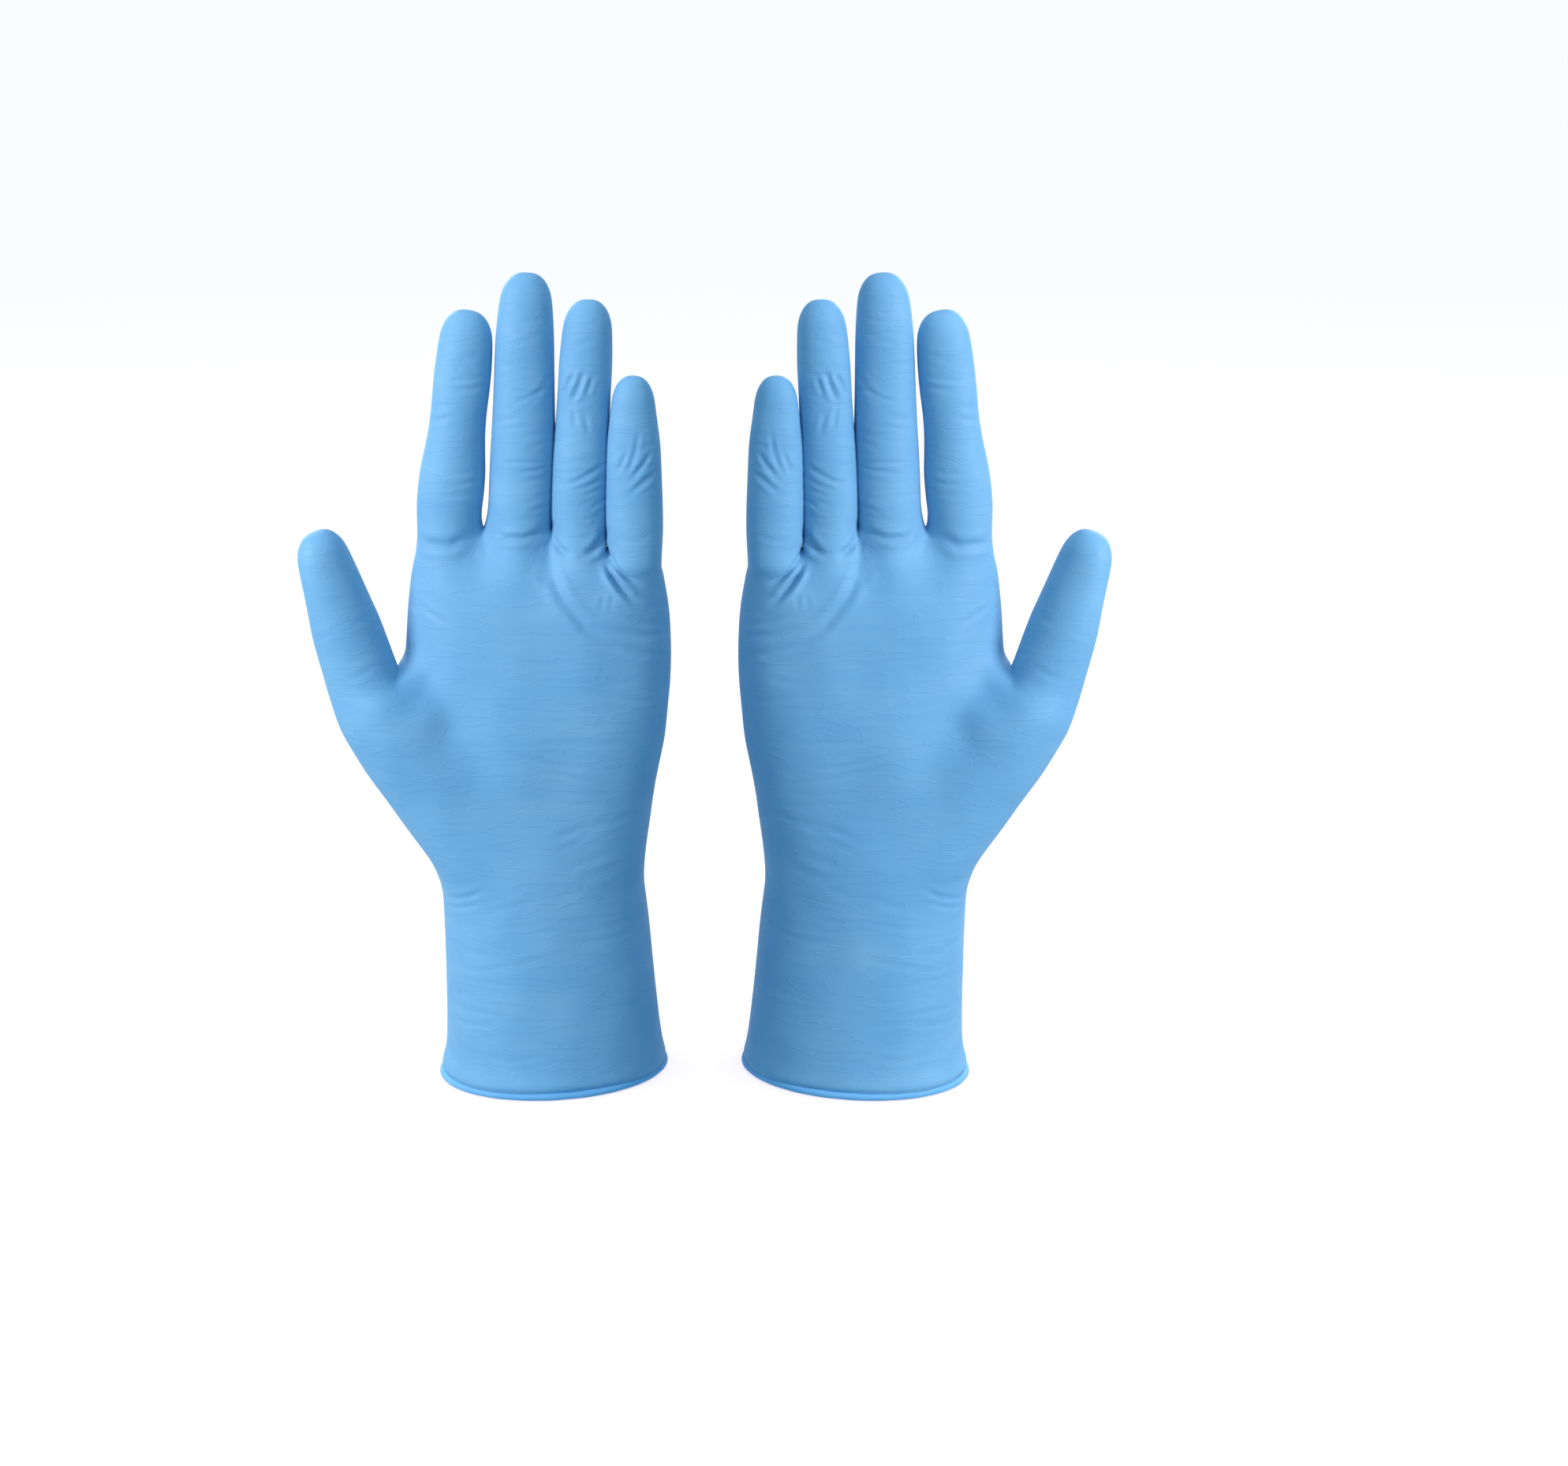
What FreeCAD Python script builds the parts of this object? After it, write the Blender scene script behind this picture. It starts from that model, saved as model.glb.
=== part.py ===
"""A pair of thin nitrile work gloves, standing on their cuffs with the palms to the front.

Each glove is a hollow film in the shape of a hand: a sleeve with a rolled bead at its edge, a palm
shell, and a stall for each digit. The film is parted where a worn glove folds, at the wrist, the
roots of the stalls and the knuckles, and bevelled there so that every stretch is free to fold.
The left glove is built from the sizes below and the right one is its mirror image across X = 0.

Frame: millimetres, +Z along the fingers, palms towards -Y, +X from the left glove to the right
one. The origin is on the ground, midway between the gloves.
"""

import FreeCAD
import Part
import os

from FreeCAD import Rotation, Vector

# Driving dimensions, in millimetres and degrees.
SECTION_WORDS = ("height", "across", "deep", "width", "depth", "turn", "lean")
FILM = {
    "film": 0.12,  # wall of the dipped film
    "bead": 1.1,  # radius of the edge of the cuff, rolled up on itself
    "gap": 0.3,  # clear gap between two stretches of film at a fold
    "hinge_share": 0.22,  # a finger folds this share of its depth in front of its middle
    "stub": 15.0,  # how far a stall runs down inside the palm
    "wrist_fold": 61.0,  # height of the wrist's fold
}

# How far each fold lets the film bend, in degrees, forward to the palm and back.
FOLDS = {
    "wrist": (40.0, 30.0),
    "root": (60.0, 12.0),
    "mid": (65.0, 0.0),
    "tip": (40.0, 0.0),
    "thumb_root": (50.0, 10.0),
    "thumb_tip": (70.0, 0.0),
}

# The trunk of a glove from the cuff's edge to the webs between the fingers. Each section is an
# ellipse: its height, its centre across and deep, its width and depth, its turn about Z, and its
# lean to the side.
TRUNK = {
    "edge": (2.22, -46.6, 0.0, 70.0, 55.0, 15.0, 0.0),
    "flare": (8.3, -46.2, 0.0, 67.6, 52.5, 15.0, 0.0),
    "sleeve": (22.0, -46.8, 0.0, 65.8, 49.5, 14.0, 0.0),
    "narrowing": (42.0, -47.9, 0.0, 63.4, 46.0, 13.0, 0.0),
    "wrist": (61.0, -49.3, 0.0, 61.6, 42.5, 11.0, 0.0),
    "heel": (72.0, -50.7, 0.0, 66.4, 40.5, 9.0, 0.0),
    "palm_low": (87.0, -52.0, 0.5, 73.6, 37.0, 6.0, 0.0),
    "palm_middle": (106.0, -51.1, 1.0, 79.6, 33.5, 4.0, 0.0),
    "palm_wide": (126.0, -50.2, 1.0, 80.6, 30.5, 2.0, 0.0),
    "palm_high": (145.0, -50.1, 0.5, 78.4, 27.5, 1.0, 2.0),
    "knuckles": (157.5, -50.0, 0.0, 74.6, 22.0, 0.0, 5.0),
    "webs": (165.3, -49.8, 0.0, 70.4, 12.0, 0.0, 7.5),
}

# The ball of the thumb, in the same terms.
BALL = {
    "foot": (66.0, -69.0, -1.0, 24.0, 22.0, 0.0, -30.0),
    "low": (92.0, -80.5, -5.5, 31.0, 28.0, 0.0, -28.0),
    "high": (112.0, -91.0, -8.0, 33.0, 28.0, 0.0, -22.0),
    "top": (127.0, -99.0, -9.0, 27.0, 21.0, 0.0, -17.0),
}

# Each digit stands on its root fold: the fold's place, the digit's lean to the side, its pitch
# forward, and its turn about its own length, which makes the thumb's pad look across the palm.
# Then the lengths of its stretches and the height of its rounded crown, and then its widths and
# depths at the root fold, at the next folds and where the crown starts.
PLACE_WORDS = ("across", "deep", "height", "lean", "pitch", "turn")
DIGITS = {
    "index_finger": {
        "place": (-75.8, 0.0, 172.5, 7.2, 2.5, 0.0),
        "lengths": {"root": 17.8, "mid": 22.0, "tip": 22.1, "crown": 8.0},
        "widths": {"root": 18.2, "mid": 18.6, "tip": 17.2, "crown": 15.4},
        "depths": {"root": 16.8, "mid": 16.0, "tip": 13.6, "crown": 11.6},
    },
    "middle_finger": {
        "place": (-54.4, -0.5, 172.5, 2.7, 2.0, 0.0),
        "lengths": {"root": 21.0, "mid": 25.5, "tip": 26.0, "crown": 9.0},
        "widths": {"root": 17.8, "mid": 18.3, "tip": 17.2, "crown": 15.4},
        "depths": {"root": 17.2, "mid": 16.6, "tip": 14.2, "crown": 11.8},
    },
    "ring_finger": {
        "place": (-36.9, 0.0, 171.5, 2.9, 2.5, 0.0),
        "lengths": {"root": 18.5, "mid": 23.5, "tip": 24.0, "crown": 8.0},
        "widths": {"root": 15.4, "mid": 15.4, "tip": 14.9, "crown": 14.0},
        "depths": {"root": 15.2, "mid": 14.8, "tip": 13.0, "crown": 10.8},
    },
    "little_finger": {
        "place": (-20.5, -1.0, 166.0, 0.0, 3.5, 0.0),
        "lengths": {"root": 15.5, "mid": 17.0, "tip": 16.7, "crown": 7.2},
        "widths": {"root": 15.0, "mid": 14.6, "tip": 13.7, "crown": 12.0},
        "depths": {"root": 14.2, "mid": 13.2, "tip": 11.6, "crown": 9.8},
    },
    "thumb": {
        "place": (-102.1, -9.0, 129.6, -15.0, 4.0, 50.0),
        "lengths": {"root": 15.5, "tip": 27.5, "crown": 9.0},
        "widths": {"root": 21.3, "tip": 20.6, "crown": 18.2},
        "depths": {"root": 20.6, "tip": 18.0, "crown": 14.2},
    },
}
CROWN_LATITUDES = (25.0, 47.0, 65.0, 79.0)  # sections of a rounded crown, in degrees
DIGIT_BLOCK = 80.0  # side of the blocks that part a digit, in millimetres
TRUNK_BLOCK = 340.0  # side of the blocks that part the trunk

doc = FreeCAD.newDocument("rubber_gloves")
sheet = doc.addObject("Spreadsheet::Sheet", "Sizes")


def fill_sheet():
    """Puts every driving dimension in a named cell."""
    sizes = dict(FILM)
    for fold, (forward, back) in FOLDS.items():
        sizes[f"{fold}_forward"] = forward
        sizes[f"{fold}_back"] = back
    for group, sections in (("trunk", TRUNK), ("ball", BALL)):
        for name, values in sections.items():
            for word, value in zip(SECTION_WORDS, values):
                sizes[f"{group}_{name}_{word}"] = value
    for digit, groups in DIGITS.items():
        for word, value in zip(PLACE_WORDS, groups["place"]):
            sizes[f"{digit}_{word}"] = value
        for group in ("lengths", "widths", "depths"):
            for word, value in groups[group].items():
                sizes[f"{digit}_{word}_{group[:-1]}"] = value
    for row, (alias, value) in enumerate(sizes.items(), start=1):
        sheet.set(f"A{row}", alias)
        sheet.set(f"B{row}", str(value))
        sheet.setAlias(f"B{row}", alias)
    doc.recompute()


def cell(*words):
    """The expression that reads a named cell."""
    return "Sizes." + "_".join(words)


def add(kind, name, **properties):
    """A new object with some of its properties set."""
    obj = doc.addObject(kind, name)
    for key, value in properties.items():
        setattr(obj, key, value)
    return obj


def section(name, across, deep, height, width, depth, inset):
    """A level elliptical section, drawn in by inset all round."""
    ellipse = doc.addObject("Part::Ellipse", name)
    ellipse.setExpression("MajorRadius", f"({width}) / 2 - {inset}")
    ellipse.setExpression("MinorRadius", f"({depth}) / 2 - {inset}")
    centre = f"vector({across}; {deep}; {height})"
    ellipse.setExpression("Placement", f"placement({centre}; rotation(vector(0; 0; 1); 0))")
    return ellipse


def turned_section(name, group, key, inset, raised):
    """The section of the trunk or the ball that the sheet names, turned and leant."""
    height, across, deep, width, depth, turn, lean = (
        cell(group, key, word) for word in SECTION_WORDS
    )
    ellipse = section(name, across, deep, height, width, depth, inset)
    centre = f"vector({across}; {deep}; {height} + {raised})"
    turned = f"rotation(vector(0; 0; 1); {turn}) * rotation(vector(0; 1; 0); {lean})"
    ellipse.setExpression("Placement", f"placement({centre}; {turned})")
    return ellipse


def lofted(name, group, keys, inner):
    """A solid through the sheet's sections. The inner one is the hollow inside the film."""
    inset = cell("film") if inner else "0"
    sections = []
    for key in keys:
        raised = "0"
        if inner and key == keys[0] and group == "trunk":
            raised = "-1"  # the hollow runs out through the mouth of the cuff
        if inner and key == keys[-1]:
            raised = f"-{cell('film')}"
        sections.append(turned_section(f"{name}_{key}", group, key, inset, raised))
    return add("Part::Loft", name, Sections=sections, Solid=True, Ruled=True)


def stall(digit, inner):
    """The solid of a digit's stall in its own frame, or the hollow inside it, crown up."""
    name = f"{digit}_hollow" if inner else f"{digit}_solid"
    inset = cell("film") if inner else "0"
    lengths = DIGITS[digit]["lengths"]
    folds = [word for word in lengths if word != "crown"]
    whole = " + ".join(cell(digit, word, "length") for word in folds)
    shoulder = f"({whole} - {cell(digit, 'crown', 'length')})"
    root = [cell(digit, "root", size) for size in ("width", "depth")]
    sections = [section(f"{name}_foot", "0", "0", f"-{cell('stub')}", *root, inset)]
    height = "0"
    for word in folds:
        sizes = [cell(digit, word, size) for size in ("width", "depth")]
        sections.append(section(f"{name}_{word}", "0", "0", height, *sizes, inset))
        height = f"{height} + {cell(digit, word, 'length')}"
    crown = [cell(digit, "crown", size) for size in ("width", "depth")]
    sections.append(section(f"{name}_shoulder", "0", "0", shoulder, *crown, inset))
    for latitude in CROWN_LATITUDES:
        rise = f"({cell(digit, 'crown', 'length')} - {inset}) * sin({latitude} deg)"
        width, depth = (f"({size} - 2 * {inset}) * cos({latitude} deg)" for size in crown)
        level = f"{shoulder} + {rise}"
        sections.append(section(f"{name}_{latitude:.0f}", "0", "0", level, width, depth, "0"))
    return add("Part::Loft", name, Sections=sections, Solid=True, Ruled=True)


def half_space(name, side, across, hinge, height, turn, below):
    """A block on one side of a fold. Its face passes by the fold's axis and slopes by turn."""
    block = add("Part::Box", name)
    for edge in ("Length", "Width", "Height"):
        block.setExpression(edge, str(side))
    foot = side if below else 0
    gap = f"{'-' if below else '+'} {cell('gap')} / 2"
    place = f"vector({across}; {hinge}; {height} {gap})"
    at_fold = f"placement({place}; rotation(vector(1; 0; 0); {turn}))"
    centred = f"placement(vector({-side / 2}; {-side / 2}; {-foot}); rotation(vector(1; 0; 0); 0))"
    block.setExpression("Placement", f"{at_fold} * {centred}")
    return block


def side_of_fold(name, fold, side, across, hinge, height, below):
    """The two blocks that keep the film on one side of a fold and leave it room to bend."""
    sign = 1 if below else -1
    forward = f"{sign} * {cell(fold, 'forward')} / 2"
    back = f"{-sign} * {cell(fold, 'back')} / 2"
    return [
        half_space(f"{name}_forward", side, across, hinge, height, forward, below),
        half_space(f"{name}_back", side, across, hinge, height, back, below),
    ]


def keep(name, *shapes):
    """What all the shapes have in common."""
    return add("Part::MultiCommon", name, Shapes=list(shapes), Refine=False)


def joined(name, first, *others):
    """All the shapes as one, joined one after the other."""
    for count, other in enumerate(others, start=1):
        first = add("Part::Fuse", f"{name}_{count}", Base=first, Tool=other, Refine=False)
    return first


def digit_fold(digit, word, below):
    """The blocks at one of a digit's folds, in the digit's own frame."""
    lengths = DIGITS[digit]["lengths"]
    words = [key for key in lengths if key != "crown"]
    lower = words[: words.index(word)]
    height = " + ".join(cell(digit, key, "length") for key in lower) or "0"
    hinge = f"-{cell('hinge_share')} * {cell(digit, word, 'depth')}"
    fold = f"thumb_{word}" if digit == "thumb" else word
    name = f"{digit}_{'under' if below else 'over'}_{word}"
    return side_of_fold(name, fold, DIGIT_BLOCK, 0, hinge, f"({height})", below)


def stand_digit(obj, digit):
    """Places an object that is made in a digit's own frame."""
    across, deep, height, lean, pitch, turn = (cell(digit, word) for word in PLACE_WORDS)
    turns = (("0; 1; 0", lean), ("1; 0; 0", pitch), ("0; 0; 1", turn))
    turned = " * ".join(f"rotation(vector({axis}); {angle})" for axis, angle in turns)
    obj.setExpression("Placement", f"placement(vector({across}; {deep}; {height}); {turned})")
    return obj


def make_digit(digit):
    """A digit's stretches of film, and the solid and the hollow of its root inside the palm."""
    solid = stall(digit, inner=False)
    hollow = stall(digit, inner=True)
    film = add("Part::Cut", f"{digit}_film", Base=solid, Tool=hollow, Refine=False)
    words = [key for key in DIGITS[digit]["lengths"] if key != "crown"]
    stretches = {}
    for word, following in zip(words, words[1:] + [None]):
        blocks = digit_fold(digit, word, below=False)
        if following:
            blocks += digit_fold(digit, following, below=True)
        stretches[f"{digit}_{word}"] = stand_digit(keep(f"{digit}_{word}", film, *blocks), digit)
    stub = keep(f"{digit}_stub", solid, *digit_fold(digit, words[0], below=True))
    past_fold = f"{cell('stub')} / 2"
    near_root = half_space(f"{digit}_near", DIGIT_BLOCK, 0, 0, past_fold, "0", below=True)
    bore = keep(f"{digit}_bore", hollow, near_root)
    return stretches, stand_digit(stub, digit), stand_digit(bore, digit)


def make_trunk():
    """The solids of the cuff with the palm and of the ball of the thumb, then their hollows."""
    groups = (("trunk", TRUNK), ("ball", BALL))
    solids = [lofted(f"{group}_solid", group, list(keys), inner=False) for group, keys in groups]
    hollows = [lofted(f"{group}_hollow", group, list(keys), inner=True) for group, keys in groups]
    return solids, hollows


def make_bead():
    """The rolled edge of the cuff, a round bead along the edge of the sleeve."""
    width = f"{cell('trunk_edge_width')} - {cell('bead')}"
    depth = f"{cell('trunk_edge_depth')} - {cell('bead')}"
    path = section("bead_path", "0", "0", "0", width, depth, "0")
    round_bead = doc.addObject("Part::Circle", "bead_section")
    round_bead.setExpression("Radius", cell("bead"))
    round_bead.Placement.Rotation = Rotation(Vector(1, 0, 0), 90)
    round_bead.setExpression("Placement.Base.x", f"({width}) / 2")
    bead = add("Part::Sweep", "cuff_bead", Sections=[round_bead], Spine=(path, ["Edge1"]))
    bead.Solid = True
    bead.Frenet = True
    bead.Placement.Rotation = Rotation(Vector(0, 0, 1), 1)
    bead.setExpression("Placement.Rotation.Angle", cell("trunk_edge_turn"))
    bead.setExpression("Placement.Base.x", cell("trunk_edge_across"))
    bead.setExpression("Placement.Base.z", cell("bead"))
    return bead


def make_glove():
    """Every piece of the left glove, by name."""
    solids, hollows = make_trunk()
    pieces, stubs, bores = {}, [], []
    for digit in DIGITS:
        stretches, stub, bore = make_digit(digit)
        pieces.update(stretches)
        stubs.append(stub)
        bores.append(bore)

    outside = joined("outside", *solids, *stubs)
    inside = joined("inside", *hollows, *bores)
    film = add("Part::Cut", "film", Base=outside, Tool=inside, Refine=False)
    fold = ("wrist", TRUNK_BLOCK, cell("trunk_wrist_across"), 0, cell("wrist_fold"))
    pieces["cuff"] = keep("cuff", film, *side_of_fold("under_wrist", *fold, below=True))
    pieces["cuff_bead"] = make_bead()
    pieces["palm"] = keep("palm", film, *side_of_fold("over_wrist", *fold, below=False))
    return pieces


def make_pair(pieces):
    """Labels the left glove's pieces and mirrors each for the right glove."""
    nodes = []
    for name, piece in pieces.items():
        piece.Label = f"left_{name}"
        mirrored = add("Part::Mirroring", f"right_{name}", Source=piece)
        mirrored.Base = Vector(0, 0, 0)
        mirrored.Normal = Vector(1, 0, 0)
        mirrored.Label = f"right_{name}"
        nodes += [piece, mirrored]
    return nodes


def check(nodes):
    """Stops unless every object is sound and every piece is one closed, valid solid."""
    for obj in doc.Objects:
        if "Invalid" in obj.State or "Error" in obj.State:
            raise RuntimeError(f"{obj.Name} failed: {obj.State}")
    for node in nodes:
        shape = node.Shape
        if shape.isNull() or not shape.isValid() or len(shape.Solids) != 1:
            raise RuntimeError(f"{node.Label} is not one valid solid: {len(shape.Solids)}")


def write(nodes):
    """Writes each piece to its own file."""
    os.makedirs("parts", exist_ok=True)
    for node in nodes:
        node.Shape.exportStep(f"parts/{node.Label}.step")


fill_sheet()
left_glove = make_glove()
doc.recompute()
all_nodes = make_pair(left_glove)
doc.recompute()
check(all_nodes)
write(all_nodes)
box = Part.makeCompound([node.Shape for node in all_nodes]).BoundBox
print(f"{len(all_nodes)} pieces, {box.XLength:.1f} x {box.YLength:.1f} x {box.ZLength:.1f} mm")
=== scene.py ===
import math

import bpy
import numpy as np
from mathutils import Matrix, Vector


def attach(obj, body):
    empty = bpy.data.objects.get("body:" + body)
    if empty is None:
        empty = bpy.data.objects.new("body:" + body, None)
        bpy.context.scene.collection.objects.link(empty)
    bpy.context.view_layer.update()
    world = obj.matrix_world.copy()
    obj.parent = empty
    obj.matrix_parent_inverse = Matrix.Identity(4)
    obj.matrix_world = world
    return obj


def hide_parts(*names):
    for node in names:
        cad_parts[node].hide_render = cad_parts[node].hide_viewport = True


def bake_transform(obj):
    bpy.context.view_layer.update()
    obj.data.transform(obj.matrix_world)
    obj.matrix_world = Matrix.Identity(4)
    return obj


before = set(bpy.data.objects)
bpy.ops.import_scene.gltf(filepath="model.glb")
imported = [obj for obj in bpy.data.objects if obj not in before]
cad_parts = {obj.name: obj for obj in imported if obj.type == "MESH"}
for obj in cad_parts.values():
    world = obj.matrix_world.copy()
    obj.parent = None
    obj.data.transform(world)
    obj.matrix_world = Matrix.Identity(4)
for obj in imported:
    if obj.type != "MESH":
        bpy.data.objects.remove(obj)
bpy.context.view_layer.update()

# A pair of thin blue nitrile gloves, in the shape that they take on a pair of hands.
#
# One cage of quads is made for the left glove in millimetres, from rings around the cuff, the
# palm and the digits. It is subdivided, wrinkled, and cut into stretches of film between the
# folds. The right glove is the mirror image.

MM = 0.001
rng = np.random.default_rng(7)

# ---------------------------------------------------------------- sizes, in millimetres, degrees
FILM = 0.12  # wall of the dipped film
BEAD = 1.1  # radius of the rolled edge

# The trunk: height, centre across and deep, half width, half depth, turn about Z.
TRUNK = np.array([
    (1.2, -46.6, 0.0, 34.2, 26.7, 15.0),
    (2.4, -46.6, 0.0, 34.3, 26.8, 15.0),
    (3.4, -46.6, 0.0, 35.0, 27.5, 15.0),
    (8.3, -46.2, 0.0, 33.8, 26.2, 15.0),
    (22.0, -46.8, 0.0, 32.9, 24.7, 14.0),
    (42.0, -47.9, 0.0, 31.7, 23.0, 13.0),
    (61.0, -49.3, 0.0, 30.8, 21.2, 11.0),
    (72.0, -50.7, 0.0, 33.2, 20.2, 9.0),
    (87.0, -52.0, 0.5, 36.8, 18.6, 6.0),
    (106.0, -51.1, 1.0, 39.8, 17.0, 4.0),
    (126.0, -50.2, 1.0, 40.3, 15.6, 2.0),
    (145.0, -50.1, 0.5, 39.3, 14.0, 1.0),
    (157.5, -50.0, 0.0, 37.6, 12.2, 0.0),
    (166.0, -49.8, 0.0, 36.0, 9.5, 0.0),
])
# The ball of the thumb: height, centre across and deep, half width, half depth.
BALL = np.array([
    (58.0, -64.0, 0.0, 9.0, 8.0),
    (72.0, -71.5, -3.0, 13.5, 11.4),
    (85.0, -78.2, -4.5, 15.3, 12.1),
    (98.0, -85.8, -6.5, 16.2, 12.1),
    (110.0, -92.2, -8.5, 16.0, 11.7),
    (120.0, -96.6, -9.5, 14.6, 11.2),
    (128.0, -100.4, -10.0, 12.4, 11.0),
])
# Each digit: the place of its root fold, its lean, pitch and turn, the lengths of its stretches,
# and its half widths and half depths at distances from its root fold.
DIGITS = {
    "index_finger": {
        "place": (-75.8, 0.0, 172.5), "turns": (7.2, 2.5, 0.0), "lengths": (17.8, 22.0, 22.1),
        "profile": ((0, 9.2, 8.4), (5, 9.4, 8.4), (14, 9.45, 8.3), (18, 9.1, 8.0), (25, 8.5, 7.6),
                    (32, 8.3, 7.2), (40, 8.5, 6.8), (47, 8.2, 6.6), (53, 7.7, 6.1)),
    },
    "middle_finger": {
        "place": (-54.4, -0.5, 172.5), "turns": (2.7, 2.0, 0.0), "lengths": (21.0, 25.5, 26.0),
        "profile": ((0, 9.4, 8.6), (5, 9.3, 8.6), (14, 9.3, 8.4), (22, 9.35, 8.3), (32, 9.1, 7.9),
                    (40, 8.8, 7.4), (47, 8.6, 7.1), (56, 8.4, 7.0), (63, 7.8, 6.3)),
    },
    "ring_finger": {
        "place": (-36.9, -1.8, 171.5), "turns": (2.9, 2.5, 0.0), "lengths": (18.5, 23.5, 24.0),
        "profile": ((0, 8.4, 7.6), (6, 8.3, 7.6), (14, 8.2, 7.5), (20, 8.15, 7.4), (30, 7.75, 7.0),
                    (40, 7.6, 6.6), (48, 7.7, 6.4), (57, 7.3, 5.9)),
    },
    "little_finger": {
        "place": (-20.6, -3.8, 166.0), "turns": (0.0, 3.5, 0.0), "lengths": (15.5, 17.0, 16.7),
        "profile": ((0, 8.5, 7.2), (6, 8.5, 7.1), (14, 8.4, 6.8), (22, 8.2, 6.4), (30, 7.9, 6.1),
                    (36, 7.1, 5.7), (41.5, 6.3, 5.1)),
    },
    "thumb": {
        "place": (-102.1, -9.0, 129.6), "turns": (-15.0, 4.0, 50.0), "lengths": (15.5, 27.5),
        "profile": ((-4, 10.8, 10.9), (0, 10.7, 10.5), (8, 10.6, 9.9), (14, 10.7, 9.4),
                    (20, 10.0, 8.8), (27, 9.2, 8.0), (33.5, 8.6, 7.2)),
    },
}
# How far each digit's rounded tip rises above its last full ring.
CROWN = {"index_finger": 9.0, "middle_finger": 9.5, "ring_finger": 9.0, "little_finger": 9.4,
         "thumb": 9.5}
# Where each root's stretch of film ends, between the root fold and the next.
FIRST_CUT = {"index_finger": 10.0, "middle_finger": 11.5, "ring_finger": 10.5,
             "little_finger": 8.6, "thumb": 8.8}
PALM_START = 81.0  # height where the cuff's stretch of film ends and the palm's starts

FINGERS = ("index_finger", "middle_finger", "ring_finger", "little_finger")
WEBS = ((-65.4, 1.0, 169.4), (-45.1, 1.0, 169.8), (-28.7, 0.5, 162.4))  # crests of the webs
THUMB_WEB = (-91.2, -4.0, 134.4)
KNUCKLE_LINE = ((-84, -65.4, -45.1, -28.7, -14), (165.5, 165.5, 165, 160, 158.5))  # across, up
RADIAL_EDGE, ULNAR_EDGE = -85.6, -13.0  # the sides of the hand below the fingers
COLUMNS = 3  # quads across the front of a digit
NARROW = 4 * COLUMNS + 1  # points across the front of a ring below the four fingers
WIDE = 5 * COLUMNS + 1  # the same with the thumb's base
RING_ANGLES = np.radians([-144, -108, -72, -36, 0, 36, 72, 108, 144, 180])
DIGIT_SWELL = 3 / (2 + math.cos(math.radians(36)))  # a ring of ten shrinks as it is smoothed
RING_SPACING = 4.6  # along a digit, about
FIRST_RING = 2.0  # above a digit's root fold
THUMB_STUB = -4.5  # the thumb's lowest ring, along the thumb
CROWN_LATITUDES = (24, 48, 68)  # rings around a rounded tip
CROWN_RISE = 1.06  # a rounded tip also shrinks as it is smoothed
CROWN_ROUNDNESS = 0.85  # below 1 is blunter than an ellipse
SPLIT_HEIGHTS = (60, 110)  # over these the cuff's even columns turn into the palm's
THUMB_TILT = 0.33  # rings drop towards the thumb by this slope, outward of TILT_START
TILT_START = -88
LUMPY_HEIGHTS = (150, 165)  # over these the palm takes on the shape of the fingers' roots
LUMPY_SHARE = 0.75  # how much of that shape it has at the end
ROOT_SPREAD = 1.06  # widens the fingers' roots there
THINNEST = 3.5  # half depth of the palm between the fingers' roots
WEB_FLATNESS = 0.8  # depth of the webs, as a share of the skin's
WEB_RISE = 0.8  # of the webs above the knuckle line
BACK_DROP = 2.0  # how much lower the fingers part on the back
OUTSIDE = -60.0  # the reach of an oval where it has none
LEVELS = 3


# ---------------------------------------------------------------- the cage
class Cage:
    """Quads for the left glove, each with the number of the piece that it belongs to."""

    def __init__(self):
        self.points, self.faces, self.pieces = [], [], []

    def add(self, point):
        self.points.append(tuple(point))
        return len(self.points) - 1

    def ring(self, points):
        return [self.add(point) for point in points]

    def quad(self, a, b, c, d, piece):
        self.faces.append((a, b, c, d))
        self.pieces.append(piece)

    def band(self, lower, upper, piece):
        """Quads between two rings that run counter-clockwise as seen from above."""
        for j in range(len(lower)):
            k = (j + 1) % len(lower)
            self.quad(lower[j], lower[k], upper[k], upper[j], piece)


def trunk_at(height):
    return [np.interp(height, TRUNK[:, 0], TRUNK[:, j]) for j in range(1, 6)]


def ball_at(height):
    return [np.interp(height, BALL[:, 0], BALL[:, j]) for j in range(1, 5)]


def soft_max(a, b, sharpness=0.3):
    return np.logaddexp(sharpness * a, sharpness * b) / sharpness


def half_ellipse(x, centre, half_width, half_depth, power=2.2):
    """How far an oval reaches to either side of its long axis at x. Outside, far below zero."""
    u = abs((x - centre) / half_width)
    return half_depth * (1 - u ** power) ** (1 / power) if u < 1 else OUTSIDE


def skin(x, height, front, with_ball):
    """The depth of the trunk's skin at a place on its front or its back."""
    cx, cy, a, b, _ = trunk_at(height)
    sign = -1 if front else 1
    reach = sign * cy + half_ellipse(x, cx, a, b)
    if with_ball:
        bx, by, ba, bb = ball_at(height)
        reach = soft_max(reach, sign * by + half_ellipse(x, bx, ba, bb, 2.0))
    return sign * reach


def digit_frame(digit):
    """The place of a digit's root fold, and the digit's axes: across, deep and along."""
    lean, pitch, _ = (math.radians(a) for a in DIGITS[digit]["turns"])
    cl, sl, cp, sp = math.cos(lean), math.sin(lean), math.cos(pitch), math.sin(pitch)
    turn_y = np.array([[cl, 0, sl], [0, 1, 0], [-sl, 0, cl]])
    turn_x = np.array([[1, 0, 0], [0, cp, -sp], [0, sp, cp]])
    axes = turn_y @ turn_x
    return np.array(DIGITS[digit]["place"]), axes[:, 0], axes[:, 1], axes[:, 2]


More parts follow.
